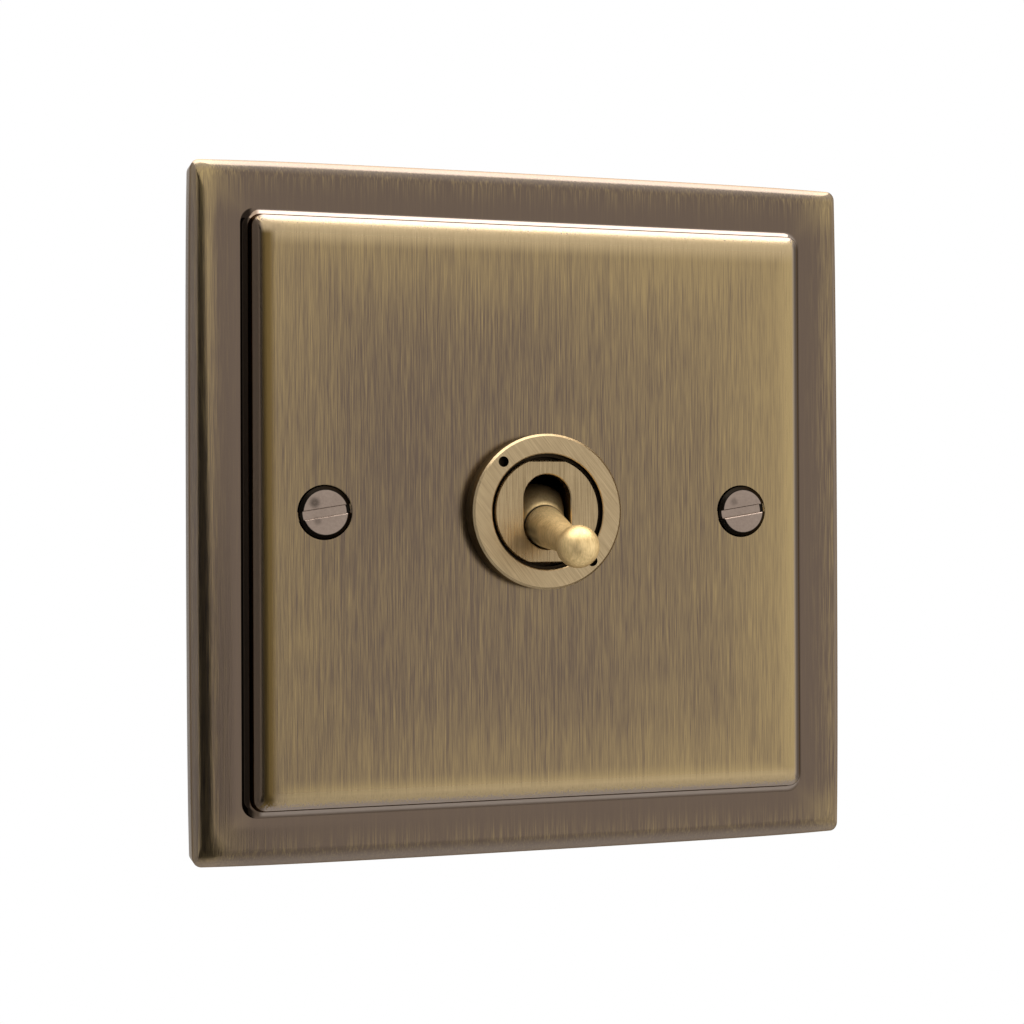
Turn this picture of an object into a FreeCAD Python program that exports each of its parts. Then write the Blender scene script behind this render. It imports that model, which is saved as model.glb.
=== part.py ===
import FreeCAD, Part
import math
import os

from FreeCAD import Vector

# Brass dolly switch on a stepped square plate, for a wall box.
# Millimetres and degrees. X runs along the plate, Z up, Y into the wall.
# The origin is the centre of the plate, in the plane of its back rim.

# Front plate: a hollow pressed plate with a raised panel
plate_side = 95.0
plate_corner = 1.6
frame_depth = 5.4
frame_edge_round = 1.4
panel_side = 79.3
panel_corner = 1.65
panel_rise = 3.25
panel_edge_round = 1.5
step_cove = 1.05
plate_wall = 2.0
pocket_corner = 1.5

# Fixing screws: slotted, raised countersunk
fixing_centres = 60.3
fixing_thread_r = 1.75
fixing_length = 25.0
fixing_hole_clear = 0.4
fixing_head_r = 3.5
fixing_head_stand = 0.72
fixing_head_band = 0.2
fixing_head_bevel = 0.45
fixing_neck_r = 1.45
fixing_neck_length = 0.7
fixing_thread_lead = 0.5
fixing_slot_w = 1.15
fixing_slot_depth = 0.85
fixing_slot_turn = 9.0
fixing_slot_edge = 0.1

# Dolly: one turned lever with its ball end, shield, hub and tail
swing_half = 10.6
lever_reach = 25.0
ball_r = 2.82
neck_end_r = 1.62
neck_base_r = 2.85
neck_groove_w = 0.35
neck_groove_depth = 0.3
shield_r = 5.1
shield_centre = 6.3
cheek_half = 2.9
hub_r = 3.2
tail_r = 2.4
tail_length = 9.3
tail_chamfer = 0.4
plunger_bore_r = 1.5
plunger_bore_depth = 5.4
pin_r = 1.0
pin_running_clear = 0.04

# Bush, ring nut and lock washer
washer_thick = 0.5
washer_band = 2.3
washer_notches = 10
washer_notch_w = 1.5
washer_notch_depth = 1.3
flange_thick = 1.5
flange_r = 10.0
bush_reach = 5.83
bush_wall = 1.05
bush_flat_drop = 0.48
bush_flat_length = 2.4
bush_edge_chamfer = 0.22
slot_edge_break = 0.12
slot_side_clear = 0.45
slot_end_clear = 0.13
cavity_clear = 0.19
pivot_depth = 4.65
boss_behind_pivot = 2.4
boss_step = 0.1
ring_rise = 3.68
ring_band = 3.12
ring_counterbore = 0.43
ring_counterbore_depth = 1.2
ring_edge_chamfer = 0.3
ring_inner_chamfer = 0.12
spanner_hole_r = 0.72
spanner_hole_depth = 1.8
spanner_hole_angle = 133.0
seat_clear = 0.02
bush_hole_clear = 0.1

# Plunger and its spring
nose_r = 1.2
nose_reach = 10.3
plunger_length = 4.3
plunger_running_clear = 0.05
spring_wire_r = 0.2
spring_turns = 4
spring_wire_sides = 8
spring_end_clear = 0.05
spring_side_clear = 0.1

# Rocking contact and its bearings
rocker_depth = 12.8
rocker_tilt = 7.0
rocker_half_w = 2.8
rocker_bar = 1.0
rocker_arm = 9.2
dish_half = 3.0
dish_ramp = 1.6
dish_clear = 0.08
trunnion_r = 0.8
trunnion_running_clear = 0.05
trunnion_past_ear = 0.9
ear_side_clear = 0.4
ear_thick = 0.7
ear_half_z = 2.3
ear_above_pivot = 1.6
tip_place = 7.5
tip_r = 1.5
tip_body = 0.45
tip_dome = 0.25
fixed_tip_r = 1.6
fixed_tip_thick = 0.8
tip_gap = 0.04
strip_thick = 0.8
strip_tip_margin = 0.8

# Terminals: three wire blocks behind the floor of the base
terminal_side = 6.0
terminal_bay_wall = 0.9
terminal_length = 7.4
terminal_stud_r = 1.0
rivet_head_r = 1.7
rivet_head_thick = 0.5
wire_bore_r = 1.8
wire_bore_offset = 2.9
strip_margin = 2.1
strip_wall_clear = 0.4
terminal_screw_r = 1.6
terminal_screw_head_r = 2.6
terminal_screw_head_thick = 1.7
terminal_slot_w = 0.8
terminal_slot_depth = 0.8

# Earth terminal on the back of the plate
earth_place = 24.0
earth_length = 13.6
earth_bore_from_end = 4.3

# Moulded housing and its steel yoke
housing_half_x = 11.95
housing_half_z = 17.0
housing_wall = 1.6
cover_depth = 11.6
floor_thick = 1.5
shoulder_behind_floor = 2.42
shoulder_width = 1.95
screw_shroud = 0.4
pocket_clear = 0.1
housing_corner = 1.0
yoke_thick = 1.0
yoke_half_z = 8.0
yoke_tab_half_z = 4.0
yoke_side_clear = 0.05
yoke_tab_clear = 0.1

# How far a cut runs past the face that it opens
past = 1.0

# Levels along Y, worked out from the sizes above
frame_face = -frame_depth
panel_face = frame_face - panel_rise
plate_back = panel_face + plate_wall
ring_front = panel_face - ring_rise
flange_front = plate_back + washer_thick
flange_back = flange_front + flange_thick
bush_front = flange_front - bush_reach
pivot_y = flange_back + pivot_depth
boss_end = pivot_y + boss_behind_pivot
yoke_back = flange_back + yoke_thick
cover_back = yoke_back + cover_depth

# Lever geometry at rest, ball end down
swing = math.radians(swing_half)
pivot = Vector(0, pivot_y, 0)
shield_neck = shield_centre + math.sqrt(shield_r ** 2 - neck_base_r ** 2)
neck_start = shield_neck + neck_groove_w
neck_end = lever_reach - math.sqrt(ball_r ** 2 - neck_end_r ** 2)
neck_slope = (neck_base_r - neck_end_r) / (neck_end - neck_start)
front_along = (pivot_y - bush_front) / math.cos(swing)
neck_at_front = neck_base_r - neck_slope * (front_along - neck_start)
slot_half_x = cheek_half + slot_side_clear
slot_half_z = front_along * math.sin(swing) + neck_at_front / math.cos(swing) + slot_end_clear
cavity_r = shield_centre * math.sin(swing) + shield_r + cavity_clear
bush_r = cavity_r + bush_wall
boss_r = bush_r - boss_step
slot_back = (
    pivot_y
    - shield_centre * math.cos(swing)
    - math.sqrt(shield_r ** 2 - slot_half_x ** 2)
    - pocket_clear
)
ring_r = bush_r + ring_band

# Rocking contact: its pivot, and the dish that the plunger's nose sweeps
tilt = math.radians(rocker_tilt)
rocker_y = pivot_y + rocker_depth
nose_mid = nose_reach - rocker_depth
nose_end_y = nose_reach * math.cos(swing + tilt) - rocker_depth * math.cos(tilt)
nose_end_z = nose_reach * math.sin(swing + tilt) - rocker_depth * math.sin(tilt)
nose_sag = nose_mid - nose_end_y
path_r = (nose_end_z ** 2 + nose_sag ** 2) / (2 * nose_sag)
dish_r = path_r + nose_r + dish_clear
dish_centre = nose_mid - path_r
dish_rim = dish_centre + math.sqrt(dish_r ** 2 - dish_half ** 2)
dome_r = (tip_r ** 2 + tip_dome ** 2) / (2 * tip_dome)
dome_centre = tip_body + tip_dome - dome_r
tip_plane = (
    rocker_y
    + dome_centre * math.cos(tilt)
    + tip_place * math.sin(tilt)
    + dome_r
    + tip_gap
)
fixed_tip_z = tip_place * math.cos(tilt) - dome_centre * math.sin(tilt)
strip_front = tip_plane + fixed_tip_thick
floor_front = strip_front + strip_thick
floor_back = floor_front + floor_thick
shoulder_y = floor_back + shoulder_behind_floor
terminal_x = housing_half_x - shoulder_width - terminal_bay_wall - pocket_clear - terminal_side / 2
terminal_z = housing_half_z - housing_wall - strip_wall_clear - strip_margin
terminal_back = floor_back + terminal_length
wire_bore_y = floor_back + wire_bore_offset
base_back = terminal_back + terminal_screw_head_thick + screw_shroud
ear_inner = rocker_half_w + ear_side_clear
ear_outer = ear_inner + ear_thick


def rod(radius, y_from, y_to, x=0.0, z=0.0):
    """A round bar along Y."""
    return Part.makeCylinder(radius, y_to - y_from, Vector(x, y_from, z), Vector(0, 1, 0))


def cross_rod(radius, half_length, y, z=0.0):
    """A round bar along X, centred on the middle plane."""
    return Part.makeCylinder(radius, 2 * half_length, Vector(-half_length, y, z), Vector(1, 0, 0))


def upright_rod(radius, x, y, z_from, z_to):
    """A round bar along Z."""
    return Part.makeCylinder(radius, z_to - z_from, Vector(x, y, z_from), Vector(0, 0, 1))


def block(x_from, x_to, y_from, y_to, z_from, z_to):
    """A rectangular block between six planes."""
    return Part.makeBox(x_to - x_from, y_to - y_from, z_to - z_from, Vector(x_from, y_from, z_from))


def rounded_wire(half_x, half_z, corner, y):
    """A rectangle with round corners, in the plane at y."""
    edges = []
    flat_x = half_x - corner
    flat_z = half_z - corner
    diagonal = corner * math.sqrt(0.5)
    for turn in range(4):
        wide, tall = (flat_x, flat_z) if turn % 2 == 0 else (flat_z, flat_x)
        angle = turn * 90
        side = [
            Vector(-wide, y, tall + corner),
            Vector(wide, y, tall + corner),
            Vector(wide + diagonal, y, tall + diagonal),
            Vector(wide + corner, y, tall),
        ]
        spin = FreeCAD.Rotation(Vector(0, 1, 0), angle)
        start, end, middle, stop = [spin.multVec(point) for point in side]
        if wide > 1e-6:
            edges.append(Part.LineSegment(start, end).toShape())
        edges.append(Part.Arc(end, middle, stop).toShape())
    return Part.Wire(edges)


def rounded_prism(half_x, half_z, corner, y_from, y_to):
    """A prism along Y on a rectangle with round corners."""
    face = Part.Face(rounded_wire(half_x, half_z, corner, y_from))
    return face.extrude(Vector(0, y_to - y_from, 0))


def turned(outline):
    """Revolve an outline of edges in the X-Y plane about the Y axis."""
    face = Part.Face(Part.Wire(outline))
    return face.revolve(Vector(0, 0, 0), Vector(0, 1, 0), 360)


def path(points):
    """Straight edges through (radius, y) points, and an arc where a point says that it is one's middle."""
    edges = []
    last = None
    middle = None
    for point in points:
        place = Vector(point[0], point[1], 0)
        if len(point) == 3:
            middle = place
            continue
        if middle is not None:
            edges.append(Part.Arc(last, middle, place).toShape())
            middle = None
        elif last is not None:
            edges.append(Part.LineSegment(last, place).toShape())
        last = place
    return edges


def moved(shape, vector):
    """A copy of a shape, moved."""
    copy = shape.copy()
    copy.translate(vector)
    return copy


def edges_where(shape, test):
    """The edges of a shape whose every sample point passes a test."""
    chosen = []
    for edge in shape.Edges:
        if all(test(point) for point in edge.discretize(5)):
            chosen.append(edge)
    return chosen


def on_level(y):
    """A test for points in the plane at y."""
    return lambda point: abs(point.y - y) < 1e-4


def fixing_hole():
    """The countersunk hole for one fixing screw, as a solid to cut, at x = z = 0."""
    hole_r = fixing_thread_r + fixing_hole_clear
    outline = path([
        (0, panel_face - past),
        (fixing_head_r + past, panel_face - past),
        (hole_r, panel_face + fixing_head_r - hole_r),
        (hole_r, plate_back + past),
        (0, plate_back + past),
        (0, panel_face - past),
    ])
    return turned(outline)


def front_plate():
    """The stepped plate: frame, raised panel, cove between them, and a hollow back."""
    half = plate_side / 2
    panel_half = panel_side / 2
    frame = rounded_prism(half, half, plate_corner, 0, frame_face)
    frame = frame.makeFillet(frame_edge_round, edges_where(frame, on_level(frame_face)))
    panel = rounded_prism(panel_half, panel_half, panel_corner, frame_face + plate_wall, panel_face)
    panel = panel.makeFillet(panel_edge_round, edges_where(panel, on_level(panel_face)))
    plate = frame.fuse(panel).removeSplitter()
    inner_edge = panel_half + step_cove
    foot = edges_where(
        plate,
        lambda p: abs(p.y - frame_face) < 1e-4 and max(abs(p.x), abs(p.z)) < inner_edge,
    )
    plate = plate.makeFillet(step_cove, foot)
    frame_inner = half - plate_wall
    frame_back = frame_face + plate_wall
    plate = plate.cut(rounded_prism(frame_inner, frame_inner, pocket_corner, frame_back, past))
    panel_inner = panel_half - plate_wall
    plate = plate.cut(rounded_prism(panel_inner, panel_inner, pocket_corner, plate_back, past))
    plate = plate.cut(rod(bush_r + bush_hole_clear, panel_face - past, past))
    for side in (-1, 1):
        plate = plate.cut(moved(fixing_hole(), Vector(side * fixing_centres / 2, 0, 0)))
    return plate


def fixing_screw(side):
    """One slotted screw with a raised head in its countersink."""
    neck_front = panel_face + fixing_head_r - fixing_neck_r
    neck_back = neck_front + fixing_neck_length
    head_top = panel_face - fixing_head_stand
    end = head_top + fixing_length
    outline = path([
        (0, head_top),
        (fixing_head_r - fixing_head_bevel, head_top),
        (fixing_head_r, panel_face - fixing_head_band),
        (fixing_head_r, panel_face),
        (fixing_neck_r, neck_front),
        (fixing_neck_r, neck_back),
        (fixing_thread_r, neck_back + fixing_thread_r - fixing_neck_r),
        (fixing_thread_r, end - fixing_thread_lead),
        (fixing_thread_r - fixing_thread_lead, end),
        (0, end),
        (0, head_top),
    ])
    screw = turned(outline)
    half_slot = fixing_slot_w / 2
    reach = fixing_head_r + past
    slot = block(-reach, reach, head_top - past, head_top + fixing_slot_depth, -half_slot, half_slot)
    slot.rotate(Vector(0, 0, 0), Vector(0, 1, 0), -fixing_slot_turn)
    screw = screw.cut(slot)
    lips = edges_where(screw, on_level(head_top))
    screw = screw.makeChamfer(fixing_slot_edge, lips)
    return moved(screw, Vector(side * fixing_centres / 2, 0, 0))


def set_at_rest(shape):
    """Turn a shape drawn with the lever along -Y about the pivot to the rest position."""
    placed = moved(shape, pivot)
    placed.rotate(pivot, Vector(1, 0, 0), swing_half)
    return placed


def dolly():
    """The lever: ball end, tapered neck, groove, shield with flat cheeks, hub and bored tail."""
    groove_r = neck_base_r - neck_groove_depth
    shield_tail = shield_centre - math.sqrt(shield_r ** 2 - tail_r ** 2)
    outline = path([
        (0, -lever_reach - ball_r),
        (ball_r, -lever_reach, "arc"),
        (neck_end_r, -neck_end),
        (neck_base_r, -neck_start),
        (groove_r, -neck_start),
        (groove_r, -shield_neck),
        (neck_base_r, -shield_neck),
        (shield_r, -shield_centre, "arc"),
        (tail_r, -shield_tail),
        (tail_r, tail_length - tail_chamfer),
        (tail_r - tail_chamfer, tail_length),
        (0, tail_length),
        (0, -lever_reach - ball_r),
    ])
    lever = turned(outline)
    reach = lever_reach + ball_r + past
    lever = lever.common(block(-cheek_half, cheek_half, -reach, reach, -reach, reach))
    lever = lever.fuse(cross_rod(hub_r, cheek_half, 0)).removeSplitter()
    lever = lever.cut(cross_rod(pin_r + pin_running_clear, cheek_half + past, 0))
    lever = lever.cut(rod(plunger_bore_r, tail_length - plunger_bore_depth, tail_length + past))
    return set_at_rest(lever)


def plunger():
    """The sprung nose piece in the tail of the lever."""
    body_r = plunger_bore_r - plunger_running_clear
    shoulder = body_r - nose_r
    back = nose_reach + nose_r - plunger_length
    outline = path([
        (0, nose_reach + nose_r),
        (nose_r * math.sqrt(0.5), nose_reach + nose_r * math.sqrt(0.5), "arc"),
        (nose_r, nose_reach),
        (body_r, nose_reach - shoulder),
        (body_r, back),
        (0, back),
        (0, nose_reach + nose_r),
    ])
    return set_at_rest(turned(outline))


def plunger_spring():
    """The coil spring between the plunger and the end of its bore."""
    start = tail_length - plunger_bore_depth + spring_wire_r + spring_end_clear
    stop = nose_reach + nose_r - plunger_length - spring_wire_r - spring_end_clear
    coil_r = plunger_bore_r - spring_side_clear - spring_wire_r
    height = stop - start
    pitch = height / spring_turns
    along = Vector(0, 2 * math.pi * coil_r, pitch).normalize()
    out = Vector(spring_wire_r, 0, 0)
    corners = []
    for index in range(spring_wire_sides + 1):
        spin = FreeCAD.Rotation(along, 360 * index / spring_wire_sides)
        corners.append(Vector(coil_r, 0, 0) + spin.multVec(out))
    helix = Part.makeHelix(pitch, height, coil_r)
    coil = Part.Wire(helix.Edges).makePipeShell([Part.makePolygon(corners)], True, True)
    coil.rotate(Vector(0, 0, 0), Vector(1, 0, 0), -90)
    return set_at_rest(moved(coil, Vector(0, start, 0)))


def pivot_pin():
    """The pin across the bush that the lever turns on."""
    return cross_rod(pin_r, boss_r - pocket_clear, pivot_y)


def obround(half_x, half_z, y_from, y_to):
    """A bar along Y with straight sides and round top and bottom."""
    straight = half_z - half_x
    bar = block(-half_x, half_x, y_from, y_to, -straight, straight)
    for side in (-1, 1):
        bar = bar.fuse(rod(half_x, y_from, y_to, 0, side * straight))
    return bar.removeSplitter()


def bush():
    """The turned bush: slotted front with two flats, clamping flange, and a boss for the pin."""
    outline = path([
        (0, bush_front),
        (bush_r - bush_edge_chamfer, bush_front),
        (bush_r, bush_front + bush_edge_chamfer),
        (bush_r, flange_front),
        (flange_r, flange_front),
        (flange_r, flange_back),
        (boss_r, flange_back),
        (boss_r, boss_end),
        (0, boss_end),
        (0, bush_front),
    ])
    body = turned(outline)
    flat_z = bush_r - bush_flat_drop
    flat_end = bush_front + bush_flat_length
    bevel = bush_edge_chamfer
    for side in (-1, 1):
        low, high = sorted((side * flat_z, side * (bush_r + past)))
        body = body.cut(block(-bush_r, bush_r, bush_front - past, flat_end, low, high))
        rim = Part.makePolygon([
            Vector(-bush_r, bush_front, side * (flat_z - bevel)),
            Vector(-bush_r, bush_front + bevel, side * flat_z),
            Vector(-bush_r, bush_front, side * flat_z),
            Vector(-bush_r, bush_front, side * (flat_z - bevel)),
        ])
        body = body.cut(Part.Face(rim).extrude(Vector(2 * bush_r, 0, 0)))
    cavity = rod(cavity_r, slot_back, boss_end + past)
    cavity = cavity.common(block(-slot_half_x, slot_half_x, slot_back, boss_end + past, -bush_r, bush_r))
    body = body.cut(cavity)
    body = body.cut(obround(slot_half_x, slot_half_z, bush_front - past, slot_back + past))
    mouth = edges_where(
        body,
        lambda p: abs(p.y - bush_front) < 1e-4 and math.hypot(p.x, p.z) < slot_half_z + slot_edge_break,
    )
    body = body.makeChamfer(slot_edge_break, mouth)
    return body.cut(cross_rod(pin_r + seat_clear, bush_r + past, pivot_y))


def ring_nut():
    """The round nut that clamps the plate, with a counterbore and two spanner holes."""
    inner = bush_r + seat_clear
    wide = bush_r + ring_counterbore
    floor = ring_front + ring_counterbore_depth
    outline = path([
        (wide + ring_inner_chamfer, ring_front),
        (ring_r - ring_edge_chamfer, ring_front),
        (ring_r, ring_front + ring_edge_chamfer),
        (ring_r, panel_face),
        (inner, panel_face),
        (inner, floor),
        (wide, floor),
        (wide, ring_front + ring_inner_chamfer),
        (wide + ring_inner_chamfer, ring_front),
    ])
    ring = turned(outline)
    hole_place = (wide + ring_r) / 2
    for turn in (0, 180):
        angle = math.radians(spanner_hole_angle + turn)
        x = hole_place * math.cos(angle)
        z = hole_place * math.sin(angle)
        ring = ring.cut(rod(spanner_hole_r, ring_front - past, ring_front + spanner_hole_depth, x, z))
    return ring


def lock_washer():
    """The thin washer between the flange and the plate, notched round its rim."""
    inner = bush_r + bush_hole_clear
    outer = inner + washer_band
    washer = rod(outer, plate_back, flange_front)
    washer = washer.cut(rod(inner, plate_back - past, flange_front + past))
    for index in range(washer_notches):
        notch = block(
            outer - washer_notch_depth, outer + past,
            plate_back - past, flange_front + past,
            -washer_notch_w / 2, washer_notch_w / 2,
        )
        notch.rotate(Vector(0, 0, 0), Vector(0, 1, 0), 360 * index / washer_notches)
        washer = washer.cut(notch)
    return washer


def yoke():
    """The folded steel strap that holds the moulded housing to the bush."""
    inner = housing_half_x + yoke_side_clear
    outer = inner + yoke_thick
    strap = block(-outer, outer, flange_back, yoke_back, -yoke_half_z, yoke_half_z)
    strap = strap.cut(rod(boss_r + seat_clear, flange_back - past, yoke_back + past))
    tab_in = housing_half_x - shoulder_width + yoke_tab_clear
    tab_back = shoulder_y + yoke_thick
    for side in (-1, 1):
        low, high = sorted((side * inner, side * outer))
        cheek = block(low, high, yoke_back, shoulder_y, -yoke_half_z, yoke_half_z)
        tab_low, tab_high = sorted((side * tab_in, side * outer))
        tab = block(tab_low, tab_high, shoulder_y, tab_back, -yoke_tab_half_z, yoke_tab_half_z)
        strap = strap.fuse(cheek).fuse(tab)
    return strap.removeSplitter()


def housing_cover():
    """The front half of the moulded housing, open at its back, with a hole for the bush."""
    cover = rounded_prism(housing_half_x, housing_half_z, housing_corner, yoke_back, cover_back)
    inner_x = housing_half_x - housing_wall
    inner_z = housing_half_z - housing_wall
    hollow = block(-inner_x, inner_x, yoke_back + housing_wall, cover_back + past, -inner_z, inner_z)
    cover = cover.cut(hollow)
    return cover.cut(rod(boss_r + bush_hole_clear, yoke_back - past, yoke_back + housing_wall + past))


def terminal_places():
    """Where the wire blocks stand: common, upper and lower, with the side their wire comes from."""
    return {
        "common": (terminal_x, 0.0, -1),
        "upper": (-terminal_x, terminal_z, 1),
        "lower": (-terminal_x, -terminal_z, -1),
    }


def housing_base():
    """The back half of the housing: contact chamber in front, three open terminal bays behind."""
    front = rounded_prism(housing_half_x, housing_half_z, housing_corner, cover_back, shoulder_y)
    narrow = housing_half_x - shoulder_width
    back = rounded_prism(narrow, housing_half_z, housing_corner, shoulder_y, base_back)
    base = front.fuse(back).removeSplitter()
    inner_x = housing_half_x - housing_wall
    inner_z = housing_half_z - housing_wall
    base = base.cut(block(-inner_x, inner_x, cover_back - past, floor_front, -inner_z, inner_z))
    half = terminal_side / 2 + pocket_clear
    for x, z, way in terminal_places().values():
        low, high = sorted((z - way * half, way * (housing_half_z + past)))
        base = base.cut(block(x - half, x + half, floor_back, base_back + past, low, high))
        base = base.cut(rod(terminal_stud_r + seat_clear, floor_front - past, floor_back + past, x, z))
    return base


def terminal(name):
    """One wire block with its stud riveted over in the contact chamber."""
    x, z, _ = terminal_places()[name]
    half = terminal_side / 2
    body = block(x - half, x + half, floor_back, terminal_back, z - half, z + half)
    body = body.fuse(rod(terminal_stud_r, strip_front, floor_back, x, z))
    body = body.fuse(rod(rivet_head_r, strip_front - rivet_head_thick, strip_front, x, z))
    body = body.cut(upright_rod(wire_bore_r, x, wire_bore_y, z - half - past, z + half + past))
    return body.cut(rod(terminal_screw_r + seat_clear, wire_bore_y, terminal_back + past, x, z))


def clamp_screw(x, z, seat, tip):
    """One slotted cheese-head screw, its head on the plane at seat."""
    head_end = seat + terminal_screw_head_thick
    screw = rod(terminal_screw_r, tip, seat, x, z)
    screw = screw.fuse(rod(terminal_screw_head_r, seat, head_end, x, z))
    half_slot = terminal_slot_w / 2
    reach = terminal_screw_head_r + past
    slot = block(
        x - reach, x + reach,
        head_end - terminal_slot_depth, head_end + past,
        z - half_slot, z + half_slot,
    )
    return screw.cut(slot)


def terminal_screws():
    """The three clamping screws of the wire blocks."""
    tip = wire_bore_y + wire_bore_r + pocket_clear
    screws = [clamp_screw(x, z, terminal_back, tip) for x, z, _ in terminal_places().values()]
    return Part.makeCompound(screws)


def stud_hole(x, z):
    """The hole in a strip or cradle for a terminal's stud, as a solid to cut."""
    return rod(terminal_stud_r + seat_clear, strip_front - past, floor_front + past, x, z)


def fixed_contact(way):
    """A flat line strip on the floor, from under its tip to its terminal's stud."""
    stud_z = way * terminal_z
    tip_z = way * fixed_tip_z
    near = tip_z - way * strip_margin
    far = stud_z + way * strip_margin
    middle = tip_z + way * strip_margin
    half_w = fixed_tip_r + strip_tip_margin
    low, high = sorted((near, middle))
    strip = block(-half_w, half_w, strip_front, floor_front, low, high)
    low, high = sorted((tip_z, far))
    left = -terminal_x - strip_margin
    strip = strip.fuse(block(left, -fixed_tip_r, strip_front, floor_front, low, high)).removeSplitter()
    return strip.cut(stud_hole(-terminal_x, stud_z))


def fixed_tips():
    """The two silver tips on the line strips."""
    tips = [rod(fixed_tip_r, tip_plane, strip_front, 0, way * fixed_tip_z) for way in (1, -1)]
    return Part.makeCompound(tips)


def common_cradle():
    """The stamped bracket whose two ears carry the rocking contact."""
    cradle = block(
        -ear_outer, terminal_x + strip_margin,
        strip_front, floor_front,
        -terminal_side / 2, terminal_side / 2,
    )
    top = rocker_y - ear_above_pivot
    for side in (-1, 1):
        low, high = sorted((side * ear_inner, side * ear_outer))
        cradle = cradle.fuse(block(low, high, top, strip_front, -ear_half_z, ear_half_z))
    cradle = cradle.removeSplitter()
    cradle = cradle.cut(cross_rod(trunnion_r + trunnion_running_clear, ear_outer + past, rocker_y))
    return cradle.cut(stud_hole(terminal_x, 0))


def tilt_at_rest(shape):
    """Turn a shape drawn square to the axis about the rocking contact's pivot, to its rest tilt."""
    centre = Vector(0, rocker_y, 0)
    placed = moved(shape, centre)
    placed.rotate(centre, Vector(1, 0, 0), -rocker_tilt)
    return placed


def rocking_contact():
    """The rocking bar: a dished middle for the plunger, two arms and two trunnions."""
    ramp_end = dish_half + dish_ramp
    start = Vector(-rocker_half_w, dish_rim, dish_half)
    bottom = Vector(-rocker_half_w, dish_centre + dish_r, 0)
    finish = Vector(-rocker_half_w, dish_rim, -dish_half)
    corners = [
        finish,
        Vector(-rocker_half_w, -rocker_bar, -ramp_end),
        Vector(-rocker_half_w, -rocker_bar, -rocker_arm),
        Vector(-rocker_half_w, 0, -rocker_arm),
        Vector(-rocker_half_w, 0, rocker_arm),
        Vector(-rocker_half_w, -rocker_bar, rocker_arm),
        Vector(-rocker_half_w, -rocker_bar, ramp_end),
        start,
    ]
    edges = [Part.Arc(start, bottom, finish).toShape()]
    edges += [Part.LineSegment(a, b).toShape() for a, b in zip(corners, corners[1:])]
    bar = Part.Face(Part.Wire(edges)).extrude(Vector(2 * rocker_half_w, 0, 0))
    bar = bar.fuse(cross_rod(trunnion_r, ear_outer + trunnion_past_ear, 0)).removeSplitter()
    return tilt_at_rest(bar)


def moving_tips():
    """The two domed silver tips under the arms of the rocking bar."""
    half_angle = math.asin(tip_r / dome_r) / 2
    outline = path([
        (0, 0),
        (tip_r, 0),
        (tip_r, tip_body),
        (dome_r * math.sin(half_angle), dome_centre + dome_r * math.cos(half_angle), "arc"),
        (0, tip_body + tip_dome),
        (0, 0),
    ])
    tip = turned(outline)
    tips = [moved(tip, Vector(0, 0, way * tip_place)) for way in (1, -1)]
    return tilt_at_rest(Part.makeCompound(tips))


def earth_terminal():
    """The earth block on the back of the plate."""
    half = terminal_side / 2
    x = z = -earth_place
    back = plate_back + earth_length
    bore_y = back - earth_bore_from_end
    body = block(x - half, x + half, plate_back, back, z - half, z + half)
    body = body.cut(upright_rod(wire_bore_r, x, bore_y, z - half - past, z + half + past))
    return body.cut(rod(terminal_screw_r + seat_clear, bore_y, back + past, x, z))


def earth_screw():
    """The clamping screw of the earth block."""
    back = plate_back + earth_length
    tip = back - earth_bore_from_end + wire_bore_r + pocket_clear
    return clamp_screw(-earth_place, -earth_place, back, tip)


def build():
    """Every piece by its node name."""
    return {
        "front_plate": front_plate(),
        "fixing_screws": Part.makeCompound([fixing_screw(-1), fixing_screw(1)]),
        "ring_nut": ring_nut(),
        "lock_washer": lock_washer(),
        "bush": bush(),
        "dolly": dolly(),
        "pivot_pin": pivot_pin(),
        "plunger": plunger(),
        "plunger_spring": plunger_spring(),
        "yoke": yoke(),
        "housing_cover": housing_cover(),
        "housing_base": housing_base(),
        "rocking_contact": rocking_contact(),
        "moving_tips": moving_tips(),
        "common_cradle": common_cradle(),
        "upper_contact": fixed_contact(1),
        "lower_contact": fixed_contact(-1),
        "fixed_tips": fixed_tips(),
        "common_terminal": terminal("common"),
        "upper_terminal": terminal("upper"),
        "lower_terminal": terminal("lower"),
        "terminal_screws": terminal_screws(),
        "earth_terminal": earth_terminal(),
        "earth_screw": earth_screw(),
    }


def main():
    """Write each piece to its own file."""
    os.makedirs("parts", exist_ok=True)
    for name, shape in build().items():
        box = shape.BoundBox
        print(
            f"{name}: solids {len(shape.Solids)}, valid {shape.isValid()}, volume {shape.Volume:.2f}, "
            f"x {box.XMin:.2f} {box.XMax:.2f}, y {box.YMin:.2f} {box.YMax:.2f}, "
            f"z {box.ZMin:.2f} {box.ZMax:.2f}"
        )
        shape.exportStep(f"parts/{name}.step")
    print(f"bush radius {bush_r:.3f}, slot {2 * slot_half_x:.2f} x {2 * slot_half_z:.2f}")
    print(f"pivot y {pivot_y:.3f}, rocking pivot y {rocker_y:.3f}, wire bore y {wire_bore_y:.3f}")


main()
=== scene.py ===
import logging
import math
from dataclasses import dataclass, field
from enum import Enum

import bmesh
import bpy
from mathutils import Matrix, Vector


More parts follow.
